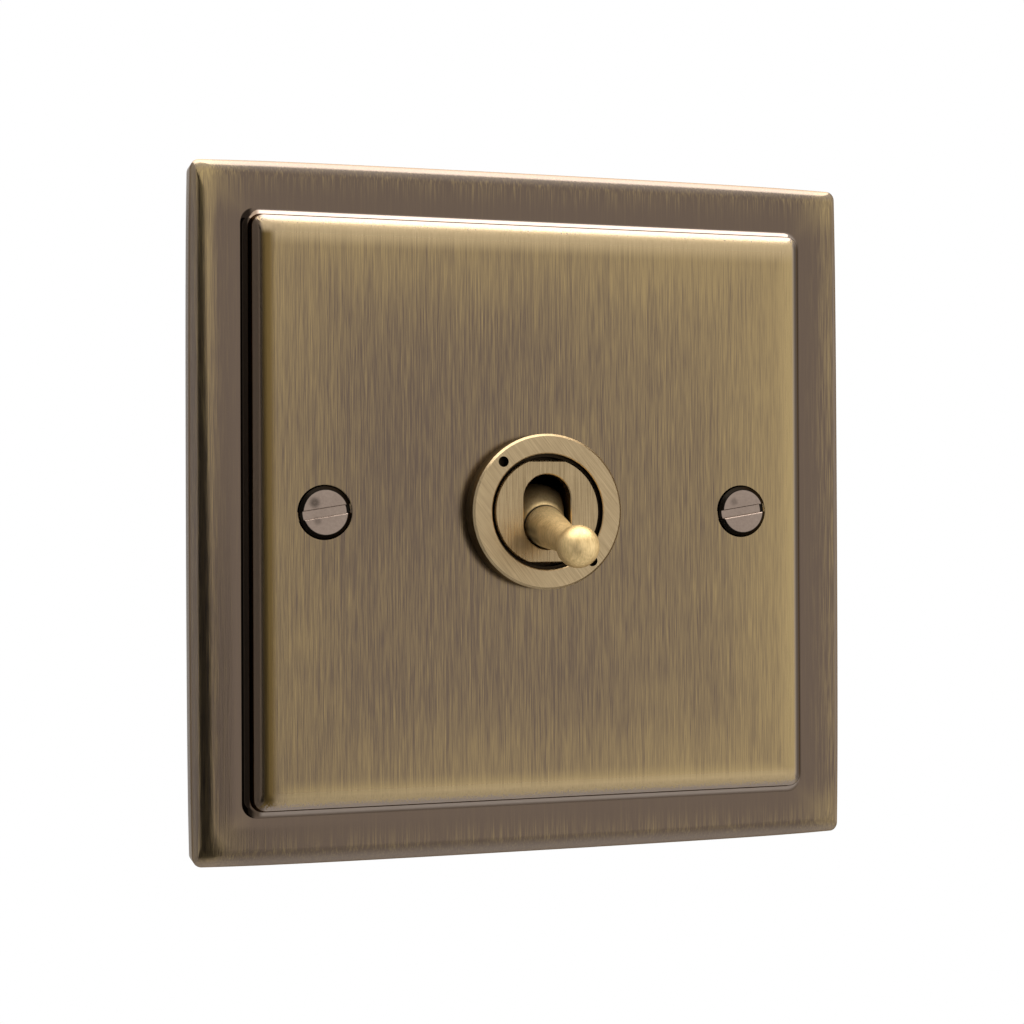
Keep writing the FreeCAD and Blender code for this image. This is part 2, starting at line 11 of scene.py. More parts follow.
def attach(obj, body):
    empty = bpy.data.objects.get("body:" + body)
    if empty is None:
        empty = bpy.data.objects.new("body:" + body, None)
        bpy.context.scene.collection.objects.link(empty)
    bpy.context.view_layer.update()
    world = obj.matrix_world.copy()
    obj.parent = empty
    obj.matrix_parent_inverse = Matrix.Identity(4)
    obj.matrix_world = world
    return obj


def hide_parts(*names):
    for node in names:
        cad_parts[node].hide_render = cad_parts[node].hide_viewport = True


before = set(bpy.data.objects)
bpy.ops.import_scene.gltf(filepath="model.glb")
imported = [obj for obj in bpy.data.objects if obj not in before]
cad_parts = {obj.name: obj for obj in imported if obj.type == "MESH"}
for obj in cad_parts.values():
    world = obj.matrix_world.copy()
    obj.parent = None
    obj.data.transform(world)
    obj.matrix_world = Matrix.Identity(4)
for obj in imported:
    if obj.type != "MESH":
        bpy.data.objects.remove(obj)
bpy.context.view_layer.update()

MM = 0.001
HAIR = 0.0015  # flat loops that share a centre lie this far apart, in mm, or bridge_loops joins them twisted
MERGE = 1e-4  # points nearer than this are one, in mm
SHARP = 38.0  # edges that turn by more than this stay crisp, in degrees
LEVER_TILT = -10.6  # the lever's lean at rest, in degrees about X
STAND = Matrix.Rotation(math.radians(90), 3, "X")  # turns a flat shape upright, to face the front
log = logging.getLogger("dolly_switch")

Socket = bpy.types.NodeSocket
Loop = list[bmesh.types.BMEdge]
Colour = tuple[float, float, float]
Span = tuple[float, ...]  # a ramp's low and high end and, where given, its results there


class Grain(Enum):
    """The way that the tool marks run on a brushed or turned metal face."""

    UPRIGHT = "upright"
    DIAGONAL = "diagonal"
    TURNED = "turned"
    NONE = "none"


class LampRole(Enum):
    """What a soft box is there for: to shape matt surfaces, or to shine in gloss."""

    SHAPE = "shape"
    GLOSS = "gloss"


class ShaderTree:
    """Builds one material out of shader nodes, in millimetres of the piece's own space."""

    def __init__(self, name: str) -> None:
        """Start an empty material with a Principled shader.

        Args:
            name: The material's name.
        """
        self.material = bpy.data.materials.new(name)
        self.material.use_nodes = True
        self.tree = self.material.node_tree
        self.tree.nodes.clear()
        self.output = self.tree.nodes.new("ShaderNodeOutputMaterial")
        self.shader = self.tree.nodes.new("ShaderNodeBsdfPrincipled")
        self.tree.links.new(self.shader.outputs[0], self.output.inputs[0])
        coordinates = self.tree.nodes.new("ShaderNodeTexCoord")
        self.place = coordinates.outputs["Object"]

    def join(self, source: Socket, target: Socket) -> None:
        """Link one socket to another."""
        self.tree.links.new(source, target)

    def feed(self, target: Socket, value) -> None:
        """Give an input a number, a colour or another node's output.

        Args:
            target: The input socket.
            value: A number, a colour of three or four parts, or an output socket.
        """
        if isinstance(value, Socket):
            self.join(value, target)
        elif isinstance(value, (tuple, list)) and target.type == "RGBA":
            target.default_value = (*value[:3], 1.0)
        else:
            target.default_value = value

    def mapped(
        self,
        scale: tuple[float, float, float],
        turn: tuple[float, float, float] = (0.0, 0.0, 0.0),
        offset: tuple[float, float, float] = (0.0, 0.0, 0.0),
    ) -> Socket:
        """Scale and turn the object coordinates.

        Args:
            scale: Cycles of a pattern per millimetre, along each axis after the turn.
            turn: Euler angles in degrees, applied before the scale.
            offset: A shift of the result, in cycles.

        Returns:
            The vector output.
        """
        vector = self.place
        if any(turn):
            turned = self.tree.nodes.new("ShaderNodeMapping")
            turned.inputs["Rotation"].default_value = [math.radians(a) for a in turn]
            self.join(vector, turned.inputs["Vector"])
            vector = turned.outputs[0]
        scaled = self.tree.nodes.new("ShaderNodeMapping")
        scaled.inputs["Location"].default_value = offset
        scaled.inputs["Scale"].default_value = [s / MM for s in scale]
        self.join(vector, scaled.inputs["Vector"])
        return scaled.outputs[0]

    def noise(
        self, vector: Socket, detail: float = 2.0, roughness: float = 0.5, distortion: float = 0.0
    ) -> Socket:
        """A noise of about 0 to 1, one cycle per unit of the vector."""
        node = self.tree.nodes.new("ShaderNodeTexNoise")
        node.inputs["Scale"].default_value = 1.0
        node.inputs["Detail"].default_value = detail
        node.inputs["Roughness"].default_value = roughness
        node.inputs["Distortion"].default_value = distortion
        self.join(vector, node.inputs["Vector"])
        return node.outputs[0]

    def math(self, kind: str, *values, clamp: bool = False) -> Socket:
        """One Math node.

        Args:
            kind: The operation's name, such as ADD.
            values: Its one to three operands.
            clamp: Whether the result is held in 0 to 1.

        Returns:
            The value output.
        """
        node = self.tree.nodes.new("ShaderNodeMath")
        node.operation = kind
        node.use_clamp = clamp
        for socket, value in zip(node.inputs, values):
            self.feed(socket, value)
        return node.outputs[0]

    def plus(self, *values, clamp: bool = False) -> Socket:
        """Add two or more values, and hold the sum in 0 to 1 where asked."""
        total = values[0]
        for value in values[1:-1]:
            total = self.math("ADD", total, value)
        return self.math("ADD", total, values[-1], clamp=clamp)

    def less(self, first, second) -> Socket:
        """Take the second value from the first."""
        return self.math("SUBTRACT", first, second)

    def times(self, *values) -> Socket:
        """Multiply two or more values."""
        product = values[0]
        for value in values[1:]:
            product = self.math("MULTIPLY", product, value)
        return product

    def distance(self, aside: Socket, above: Socket) -> Socket:
        """How far a point lies from an axis along Y, given its two offsets."""
        return self.math("SQRT", self.plus(self.times(aside, aside), self.times(above, above)))

    def ramp(
        self, value: Socket, low: float, high: float, out_low: float = 0.0, out_high: float = 1.0
    ) -> Socket:
        """Carry a value smoothly from one range to another, held at both ends."""
        node = self.tree.nodes.new("ShaderNodeMapRange")
        node.interpolation_type = "SMOOTHSTEP"
        for name, number in (
            ("From Min", low),
            ("From Max", high),
            ("To Min", out_low),
            ("To Max", out_high),
        ):
            node.inputs[name].default_value = number
        self.join(value, node.inputs["Value"])
        return node.outputs[0]

    def mix(self, factor, first, second) -> Socket:
        """Mix two colours."""
        node = self.tree.nodes.new("ShaderNodeMix")
        node.data_type = "RGBA"
        self.feed(node.inputs[0], factor)
        self.feed(node.inputs[6], first)
        self.feed(node.inputs[7], second)
        return node.outputs[2]

    def axes(self, tilt: float = 0.0) -> tuple[Socket, ...]:
        """The three object coordinates, in millimetres, after a tilt in degrees about X."""
        split = self.tree.nodes.new("ShaderNodeSeparateXYZ")
        self.join(self.mapped((1.0, 1.0, 1.0), (tilt, 0.0, 0.0)), split.inputs[0])
        return tuple(split.outputs)

    def bump(self, height: Socket, depth: float, strength: float = 1.0) -> Socket:
        """A bump of a height map.

        Args:
            height: The height, 0 to 1.
            depth: The depth of the whole range, in millimetres.
            strength: How much of it shows.

        Returns:
            The normal output.
        """
        node = self.tree.nodes.new("ShaderNodeBump")
        node.inputs["Strength"].default_value = strength
        node.inputs["Distance"].default_value = depth * MM
        self.join(height, node.inputs["Height"])
        return node.outputs[0]

    def grain(self, way: Grain, fine: float, long: float, turn: float = 0.0) -> Socket:
        """The streaks of a brushed or turned face, 0 to 1.

        Args:
            way: The way that the marks run.
            fine: Marks per millimetre, across them.
            long: Marks per millimetre, along them.
            turn: For diagonal marks, degrees from upright; for turned marks, the tilt of the axis about X.

        Returns:
            The value output.
        """
        if way is Grain.TURNED:
            vector = self.mapped((long, fine, long), (turn, 0.0, 0.0))
        elif way is Grain.DIAGONAL:
            vector = self.mapped((fine, fine, long), (0.0, turn, 0.0))
        else:
            vector = self.mapped((fine, fine, long))
        return self.noise(vector, 2.0, 0.55)

    def finish(self, **sockets) -> bpy.types.Material:
        """Feed the shader's sockets and return the material.

        Args:
            sockets: Socket names with underscores for spaces, and their values.

        Returns:
            The material.
        """
        for name, value in sockets.items():
            self.feed(self.shader.inputs[name.replace("_", " ")], value)
        return self.material


@dataclass(frozen=True)
class PlateChart:
    """Where a point lies on the plate, in millimetres, and what the brush left there."""

    x: Socket
    y: Socket
    z: Socket
    wide: Socket
    tall: Socket
    from_middle: Socket
    hair: Socket
    streak: Socket
    swing: Socket
    past_panel: Socket
    on_panel: Socket


@dataclass(frozen=True)
class AntiquePlateFinish:
    """Pressed brass with a brown patina, brushed upright and rubbed to a brighter gold along its edges.

    The spans are ramps over millimetres of the plate: first the tones, then the brush, the panel, the frame,
    the step between them, and the gloss. Some tones are painted light: a painted highlight on the panel's
    top and bottom crests and on the frame's rim, and painted shade on the panel's left lip, the step's left
    side, the cove at the step's foot and the gutter on its right.
    """

    name: str = "antique_plate"
    patina: Colour = (0.140, 0.101, 0.075)
    brass: Colour = (0.350, 0.252, 0.124)
    rubbed: Colour = (0.430, 0.315, 0.150)
    # painted highlight: a paler tone laid on the panel's top and bottom crests
    bright: Colour = (0.600, 0.455, 0.275)
    step_tone: Colour = (0.350, 0.285, 0.240)
    # painted shade: a darker tone for the step on its left side
    painted_step_shade: Colour = (0.115, 0.082, 0.058)
    # painted shade: a deep dark gold on the panel's left lip, standing for the dark surroundings that it
    # reflects
    painted_lip_shade: Colour = (0.165, 0.108, 0.038)
    # painted shade: near black at the step's foot, in the cove on the left and in the gutter on the right
    painted_recess_shade: Colour = (0.020, 0.014, 0.010)
    edge_tint: Colour = (0.42, 0.34, 0.26)

    hair_cycles: tuple[float, float] = (9.5, 0.21)
    band_cycles: tuple[float, float] = (4.6, 0.05)
    hair_share: float = 0.62
    cloud_cycles: tuple[float, float, float] = (0.035, 0.035, 0.025)
    scratch_cycles: tuple[float, float, float] = (6.0, 6.0, 0.14)
    scratch_offset: tuple[float, float, float] = (7.0, 3.0, 1.0)

    edge_wear: Span = (22.0, 38.5, 0.0, 0.34)
    right_wear: Span = (-12.0, 40.0, 0.0, 0.24)
    # the panel turns lighter towards its top
    lighter_to_top: Span = (8.0, 34.0, 0.0, 0.15)
    cloud_wear: Span = (0.35, 0.65, 0.0, 0.12)
    scratch_wear: Span = (0.62, 0.74, 0.0, 0.30)
    grain_wear: float = 2.6
    base_wear: float = 0.14
    lip_base: float = 0.85
    lip_grain: float = 1.6
    gold_lip: Span = (35.2, 38.4)
    gold_lip_start: Span = (-37.0, -34.5)
    # painted highlight on the panel's top and bottom crests
    painted_highlight_top: Span = (35.2, 38.8, 0.0, 0.80)
    painted_highlight_low: Span = (-36.6, -38.4, 0.0, 0.60)
    # painted shade on the panel's left lip
    painted_lip_shade_left: Span = (-36.4, -37.6)
    painted_lip_shade_top: Span = (37.8, 36.8)

    side_gold: Span = (43.6, 45.2, 0.0, 0.45)
    side_gold_end: Span = (46.9, 46.1, 0.05, 1.0)
    side_gold_right: Span = (10.0, -10.0, 0.35, 1.0)
    side_gold_low: Span = (0.0, 34.0, 0.40, 1.0)
    corner_wear: Span = (38.5, 46.0, 0.0, 0.32)
    drift_out: Span = (41.6, 46.5)
    drift_wear: float = 0.06
    frame_grain: float = 0.35
    frame_grain_drift: float = 2.2
    # painted highlight: the rim takes the pale step tone, which whitens its highlight at top and bottom and
    # lightens its side face
    painted_rim_light_ends: Span = (45.4, 46.9, 0.0, 0.55)
    painted_rim_light_sides: Span = (46.3, 46.9, 0.0, 0.45)
    painted_rim_light_depth: Span = (-3.8, -4.2)

    panel_depth: Span = (-5.9, -6.4)
    step_place: Span = (38.2, 38.8)
    step_depth: Span = (-5.41, -5.62)
    ragged_sides: float = 0.5
    ragged_ends: float = 3.2
    ends_shift: float = 0.40
    # painted shade on the step's left side
    painted_step_shade_left: Span = (-38.0, -38.8)
    reach_from: float = 38.84
    # painted shade in the cove at the step's foot on the left, and in the gutter on the right
    painted_cove_shade_near: Span = (0.98, 1.12)
    painted_cove_shade_far: Span = (2.02, 1.88)
    painted_cove_shade_left: Span = (-39.0, -39.7)
    painted_gutter_shade_right: Span = (38.35, 38.95)
    painted_gutter_shade_far: Span = (2.2, 1.8)
    painted_gutter_shade_ends: Span = (39.8, 37.8, 0.0, 0.72)

    rough: float = 0.13
    hair_rough: float = 0.12
    edge_rough: Span = (36.6, 37.8, 0.0, 0.16)
    smooth_out: Span = (42.6, 41.2)
    smooth_share: float = 0.55
    marks_depth: float = 0.010

    def chart(self, tree: ShaderTree) -> PlateChart:
        """Lay out the values that every part of the finish is drawn from.

        Args:
            tree: The material's tree.

        Returns:
            The values.
        """
        x, y, z = tree.axes()
        wide, tall = tree.math("ABSOLUTE", x), tree.math("ABSOLUTE", z)
        from_middle = tree.math("MAXIMUM", wide, tall)
        hair = tree.grain(Grain.UPRIGHT, *self.hair_cycles)
        band = tree.grain(Grain.UPRIGHT, *self.band_cycles)
        streak = tree.plus(tree.times(hair, self.hair_share), tree.times(band, 1.0 - self.hair_share))
        swing = tree.less(streak, 0.5)
        across = tree.math("GREATER_THAN", tall, wide)
        ragged = tree.times(swing, tree.plus(self.ragged_sides, tree.times(across, self.ragged_ends)))
        shaken = tree.plus(from_middle, tree.less(ragged, tree.times(across, self.ends_shift)))
        return PlateChart(
            x, y, z, wide, tall, from_middle, hair, streak, swing,
            past_panel=tree.ramp(shaken, *self.step_place),
            on_panel=tree.ramp(y, *self.panel_depth),
        )

    def panel_colour(self, tree: ShaderTree, at: PlateChart) -> Socket:
        """The raised panel: brown in its middle, worn towards its edges, with a gold lip, a painted
        highlight on its top and bottom crests and painted shade on its left lip.

        Args:
            tree: The material's tree.
            at: The chart.

        Returns:
            The colour output.
        """
        cloud = tree.noise(tree.mapped(self.cloud_cycles))
        scratch = tree.noise(tree.mapped(self.scratch_cycles, offset=self.scratch_offset), 1.0)
        wear = tree.plus(
            tree.ramp(at.from_middle, *self.edge_wear),
            tree.ramp(at.x, *self.right_wear),
            tree.ramp(cloud, *self.cloud_wear),
            tree.ramp(scratch, *self.scratch_wear),
            tree.ramp(at.z, *self.lighter_to_top),
            tree.times(at.swing, self.grain_wear),
            self.base_wear,
            clamp=True,
        )
        colour = tree.mix(wear, self.patina, self.brass)
        lip = tree.plus(self.lip_base, tree.times(at.swing, self.lip_grain))
        gold = tree.times(
            tree.ramp(at.from_middle, *self.gold_lip), lip, tree.ramp(at.x, *self.gold_lip_start)
        )
        colour = tree.mix(gold, colour, self.rubbed)
        # painted highlight: the paler tone on the top and bottom crests
        crest = tree.math("MAXIMUM", tree.ramp(at.z, *self.painted_highlight_top), tree.ramp(at.z, *self.painted_highlight_low))
        colour = tree.mix(tree.times(crest, lip), colour, self.bright)
        # painted shade: the deep dark gold on the left lip
        left = tree.times(tree.ramp(at.x, *self.painted_lip_shade_left), tree.ramp(at.z, *self.painted_lip_shade_top))
        return tree.mix(left, colour, self.painted_lip_shade)

    def frame_colour(self, tree: ShaderTree, at: PlateChart) -> Socket:
        """The frame: brown, gold along its sides, and pale on its rounded edges as a painted highlight.

        Args:
            tree: The material's tree.
            at: The chart.

        Returns:
            The colour output.
        """
        sides = tree.times(
            tree.ramp(at.wide, *self.side_gold),
            tree.ramp(at.wide, *self.side_gold_end),
            tree.ramp(at.x, *self.side_gold_right),
            tree.ramp(at.z, *self.side_gold_low),
        )
        corners = tree.ramp(tree.math("MINIMUM", at.wide, at.tall), *self.corner_wear)
        drift = tree.ramp(at.from_middle, *self.drift_out)
        stir = tree.times(at.swing, tree.plus(self.frame_grain, tree.times(drift, self.frame_grain_drift)))
        worn = tree.plus(sides, corners, tree.times(drift, self.drift_wear), stir, clamp=True)
        colour = tree.mix(worn, self.patina, self.rubbed)
        # painted highlight: the pale step tone on the rounded rim
        rounding = tree.times(tree.ramp(at.wide, *self.painted_rim_light_sides), tree.ramp(at.y, *self.painted_rim_light_depth))
        pale = tree.math("MAXIMUM", tree.ramp(at.tall, *self.painted_rim_light_ends), rounding)
        return tree.mix(pale, colour, self.step_tone)

    def step_colour(self, tree: ShaderTree, at: PlateChart, colour: Socket) -> Socket:
        """Lay the step's tones over the rest, with painted shade on the step's left side, in the cove at its
        foot and in the gutter on its right.

        Args:
            tree: The material's tree.
            at: The chart.
            colour: What lies under them.

        Returns:
            The colour output.
        """
        step = tree.times(at.past_panel, tree.ramp(at.y, *self.step_depth))
        # painted shade: the step turns darker on its left side
        tone = tree.mix(tree.ramp(at.x, *self.painted_step_shade_left), self.step_tone, self.painted_step_shade)
        colour = tree.mix(step, colour, tone)
        # painted shade: near black at the step's foot, in the cove on the left and the gutter on the right
        aside = tree.math("MAXIMUM", tree.less(at.wide, self.reach_from), 0.0)
        above = tree.math("MAXIMUM", tree.less(at.tall, self.reach_from), 0.0)
        reach = tree.distance(aside, above)
        hollow = tree.times(
            tree.ramp(reach, *self.painted_cove_shade_near),
            tree.ramp(reach, *self.painted_cove_shade_far),
            tree.ramp(at.x, *self.painted_cove_shade_left),
        )
        gutter = tree.times(
            tree.ramp(at.x, *self.painted_gutter_shade_right),
            tree.ramp(reach, *self.painted_gutter_shade_far),
            tree.ramp(at.tall, *self.painted_gutter_shade_ends),
        )
        return tree.mix(tree.plus(hollow, gutter, clamp=True), colour, self.painted_recess_shade)

    def build(self) -> bpy.types.Material:
        """Make the material.

        Returns:
            The material.
        """
        tree = ShaderTree(self.name)
        at = self.chart(tree)
        colour = tree.mix(at.on_panel, self.frame_colour(tree, at), self.panel_colour(tree, at))
        colour = self.step_colour(tree, at, colour)
        smooth = tree.times(tree.ramp(at.from_middle, *self.smooth_out), at.past_panel)
        edge = tree.times(tree.ramp(at.from_middle, *self.edge_rough), at.on_panel)
        rough = tree.plus(self.rough, tree.times(at.hair, self.hair_rough), edge)
        rough = tree.times(rough, tree.less(1.0, tree.times(smooth, self.smooth_share)))
        marks = tree.times(at.streak, tree.less(1.0, smooth))
        return tree.finish(
            Base_Color=colour,
            Metallic=1.0,
            Roughness=rough,
            Specular_Tint=self.edge_tint,
            Normal=tree.bump(marks, self.marks_depth),
        )


@dataclass(frozen=True)
class Shade:
    """A ring of dark colour about an axis that runs along Y, in millimetres; mostly painted shade."""

    x: float = 0.0
    z: float = 0.0
    inner: float = 0.0
    outer: float = 50.0
    front: float = -50.0
    back: float = 50.0
    soft: float = 0.06
    strength: float = 1.0

    def mask(self, tree: ShaderTree, along: tuple[Socket, ...]) -> Socket:
        """Where the dark colour lies, 0 to 1.

        Args:
            tree: The material's tree.
            along: The three coordinates, in millimetres.

        Returns:
            The value output.
        """
        x, y, z = along
        reach = tree.distance(tree.less(x, self.x), tree.less(z, self.z))
        return tree.times(
            tree.ramp(reach, self.inner - self.soft, self.inner + self.soft, 0.0, self.strength),
            tree.ramp(reach, self.outer + self.soft, self.outer - self.soft),
            tree.ramp(y, self.front - self.soft, self.front + self.soft),
            tree.ramp(y, self.back + self.soft, self.back - self.soft),
        )


@dataclass(frozen=True)
class WorkedMetalFinish:
    """A metal that a brush or a lathe has marked, with duller and brighter patches and, where given, painted
    shade.
    """

    name: str
    tone: Colour
    shade: Colour
    way: Grain = Grain.NONE
    turn: float = 0.0
    fine: float = 6.0
    long: float = 0.2
    contrast: float = 1.6
    rough: float = 0.28
    rough_swing: float = 0.14
    marks: float = 0.006
    mottle: float = 0.5
    mottle_cycles: float = 0.35
    speck_cycles: float = 3.0
    tone_share: float = 0.55
    edge_tint: Colour = (1.0, 1.0, 1.0)
    # rings of painted shade and painted dark reflection; on the bush also a dark smudge
    painted_shade_and_smudge: tuple[Shade, ...] = ()
    painted_shade_tone: Colour = (0.035, 0.024, 0.014)
    painted_shade_rough: float = 0.2
    lever_frame: bool = False
    metallic: float = 1.0

    def build(self) -> bpy.types.Material:
        """Make the material.

        Returns:
            The material.
        """
        tree = ShaderTree(self.name)
        mottle = tree.noise(tree.mapped((self.mottle_cycles,) * 3), 3.0, 0.6)
        if self.way is Grain.NONE:
            marks = tree.noise(tree.mapped((self.speck_cycles,) * 3), 2.0, 0.6)
        else:
            marks = tree.grain(self.way, self.fine, self.long, self.turn)
        lift = tree.times(tree.less(marks, 0.5), self.contrast)
        patch = tree.times(tree.less(mottle, 0.5), self.mottle)
        colour = tree.mix(tree.plus(lift, patch, self.tone_share, clamp=True), self.shade, self.tone)
        rough = tree.plus(self.rough - self.rough_swing / 2, tree.times(marks, self.rough_swing))
        # painted shade: the rings darken the colour and roughen the gloss
        if self.painted_shade_and_smudge:
            along = tree.axes(self.turn if self.lever_frame else 0.0)
            dark = self.painted_shade_and_smudge[0].mask(tree, along)
            for place in self.painted_shade_and_smudge[1:]:
                dark = tree.math("MAXIMUM", dark, place.mask(tree, along))
            colour = tree.mix(dark, colour, self.painted_shade_tone)
            rough = tree.plus(rough, tree.times(dark, self.painted_shade_rough))
        return tree.finish(
            Base_Color=colour,
            Metallic=self.metallic,
            Roughness=rough,
            Specular_Tint=self.edge_tint,
            Normal=tree.bump(marks, self.marks),
        )


@dataclass(frozen=True)
class MouldingFinish:
    """A pressed thermoset moulding, with faint flow marks and a skin that isn't quite smooth."""

    name: str
    tone: Colour
    flow: Colour
    rough: float = 0.38
    rough_swing: float = 0.18
    flow_cycles: tuple[float, float, float] = (0.10, 0.10, 0.16)
    flow_span: Span = (0.35, 0.70)
    skin_cycles: tuple[float, float, float] = (2.2, 2.2, 2.2)
    skin_depth: float = 0.010
    skin_strength: float = 0.7

    def build(self) -> bpy.types.Material:
        """Make the material.

        Returns:
            The material.
        """
        tree = ShaderTree(self.name)
        swirl = tree.noise(tree.mapped(self.flow_cycles), 4.0, 0.55, 1.2)
        skin = tree.noise(tree.mapped(self.skin_cycles))
        return tree.finish(
            Base_Color=tree.mix(tree.ramp(swirl, *self.flow_span), self.tone, self.flow),
            Roughness=tree.plus(self.rough, tree.times(tree.less(skin, 0.5), self.rough_swing)),
            Specular_IOR_Level=0.5,
            Normal=tree.bump(skin, self.skin_depth, self.skin_strength),
        )


@dataclass(frozen=True)
class FinishShelf:
    """Every finish of the switch, each built once."""

    plate: bpy.types.Material = field(default_factory=lambda: AntiquePlateFinish().build())
    ring: bpy.types.Material = field(
        default_factory=lambda: WorkedMetalFinish(
            "ring_brass", (0.520, 0.390, 0.225), (0.300, 0.215, 0.118), Grain.DIAGONAL, turn=38.0,
            fine=9.5, long=0.16, contrast=1.9, rough=0.31, marks=0.010, edge_tint=(0.62, 0.56, 0.46),
            painted_shade_and_smudge=(
                # painted shade: black in the two spanner holes and in the counterbore, and a painted dark
                # reflection on the ring's side
                Shade(-6.31, 6.77, outer=0.78, front=-12.25),
                Shade(6.31, -6.77, outer=0.78, front=-12.25),
                Shade(outer=8.3, front=-12.05),
                Shade(inner=10.4, outer=12.0, front=-10.6, back=0.0, soft=0.9),
            ),
        ).build()
    )
    bush: bpy.types.Material = field(
        default_factory=lambda: WorkedMetalFinish(
            "bush_brass", (0.460, 0.340, 0.192), (0.235, 0.166, 0.088), Grain.UPRIGHT,
            fine=6.5, long=0.12, contrast=2.0, marks=0.010, mottle=0.7, edge_tint=(0.6, 0.5, 0.4),
            painted_shade_and_smudge=(
                # painted shade: the bush's side in the gap behind the ring; then a dark smudge below and
                # left of the slot
                Shade(inner=6.9, outer=12.0, front=-11.70, back=3.0),
                Shade(-3.9, -4.3, outer=0.7, front=-13.0, back=-11.0, soft=1.0, strength=0.55),
            ),
        ).build()
    )
    dolly: bpy.types.Material = field(
        default_factory=lambda: WorkedMetalFinish(
            "dolly_brass", (0.980, 0.730, 0.370), (0.620, 0.430, 0.190), Grain.UPRIGHT, turn=LEVER_TILT,
            fine=4.0, long=0.9, contrast=1.7, rough=0.47, marks=0.008, mottle=1.8, edge_tint=(0.9, 0.8, 0.6),
            painted_shade_and_smudge=(
                # painted shade: the groove between shield and neck, the shield recessed in the slot and the
                # neck's lower left away from the light; a painted dark reflection on the ball's left
                Shade(outer=8.0, front=-10.92, back=-10.45, soft=0.08),
                Shade(outer=9.0, front=-10.30, back=2.0, soft=0.3, strength=0.70),
                Shade(-2.6, -0.8, outer=1.3, front=-15.0, back=-10.9, soft=0.9, strength=0.75),
                Shade(-1.9, -3.5, outer=0.9, front=-30.0, back=-20.0, soft=0.9, strength=0.20),
            ),
            lever_frame=True, metallic=0.80,
        ).build()
    )
    bronze: bpy.types.Material = field(
        default_factory=lambda: WorkedMetalFinish(
            "screw_bronze", (0.330, 0.255, 0.205), (0.230, 0.172, 0.138),
            contrast=1.0, rough=0.17, marks=0.004, mottle=0.7, edge_tint=(0.8, 0.7, 0.6),
            painted_shade_and_smudge=(
                # painted shade: black in the crevice round each screw head; then painted dark reflections on
                # the heads beside the slots
                Shade(-30.15, inner=2.98, outer=3.8, front=-12.0, back=-6.0, soft=0.05),
                Shade(30.15, inner=2.98, outer=3.8, front=-12.0, back=-6.0, soft=0.05),
                Shade(-31.65, 1.30, outer=0.50, front=-12.0, back=-6.0, soft=0.55, strength=0.85),
                Shade(-31.25, -1.15, outer=0.30, front=-12.0, back=-6.0, soft=0.45, strength=0.60),
                Shade(28.75, 1.35, outer=0.35, front=-12.0, back=-6.0, soft=0.50, strength=0.60),
            ),
            painted_shade_tone=(0.010, 0.008, 0.006),
        ).build()
    )
    contact: bpy.types.Material = field(
        default_factory=lambda: WorkedMetalFinish(
            "contact_brass", (0.720, 0.540, 0.250), (0.520, 0.370, 0.160), Grain.UPRIGHT,
            fine=4.0, long=0.3, contrast=1.2, rough=0.26, marks=0.005,
        ).build()
    )
    silver: bpy.types.Material = field(
        default_factory=lambda: WorkedMetalFinish(
            "tip_silver", (0.860, 0.850, 0.820), (0.620, 0.600, 0.570),
            contrast=1.0, rough=0.24, marks=0.003,
        ).build()
    )
    zinc: bpy.types.Material = field(
        default_factory=lambda: WorkedMetalFinish(
            "zinc_steel", (0.610, 0.620, 0.630), (0.400, 0.410, 0.430),
            contrast=1.3, rough=0.34, mottle=0.9,
        ).build()
    )
    spring: bpy.types.Material = field(
        default_factory=lambda: WorkedMetalFinish(
            "spring_steel", (0.470, 0.460, 0.450), (0.290, 0.270, 0.260), Grain.TURNED, turn=LEVER_TILT,
            long=0.5, contrast=1.2, rough=0.25, marks=0.002, mottle=0.4,
        ).build()
    )
    white: bpy.types.Material = field(
        default_factory=lambda: MouldingFinish(
            "white_moulding", (0.680, 0.660, 0.600), (0.640, 0.615, 0.545), 0.40
        ).build()
    )
    black: bpy.types.Material = field(
        default_factory=lambda: MouldingFinish(
            "black_moulding", (0.020, 0.019, 0.018), (0.030, 0.028, 0.026), 0.34
        ).build()
    )


@dataclass(frozen=True)
class Lamp:
    """A soft box of the studio, in metres."""

    name: str
    place: tuple[float, float, float]
    aim: tuple[float, float, float]
    width: float
    height: float
    brightness: float
    role: LampRole

    def hang(self) -> bpy.types.Object:
        """Make the soft box.

        Returns:
            The lamp's object.
        """
        data = bpy.data.lights.new(self.name, "AREA")
        data.shape = "RECTANGLE"
        data.size = self.width
        data.size_y = self.height
        data.energy = self.brightness * math.pi * self.width * self.height
        lamp = bpy.data.objects.new(self.name, data)
        bpy.context.scene.collection.objects.link(lamp)
        lamp.location = self.place
        lamp.rotation_euler = (Vector(self.aim) - Vector(self.place)).to_track_quat("-Z", "Y").to_euler()
        lamp.visible_camera = False
        lamp.visible_diffuse = self.role is LampRole.SHAPE
        lamp.visible_glossy = self.role is LampRole.GLOSS
        return lamp


@dataclass(frozen=True)
class Card:
    """A card that stands upright and shows in the gloss of the metal, in metres and degrees."""

    name: str
    place: tuple[float, float, float]
    width: float
    height: float
    bearing: float
    tone: float
    lean: float = 0.0


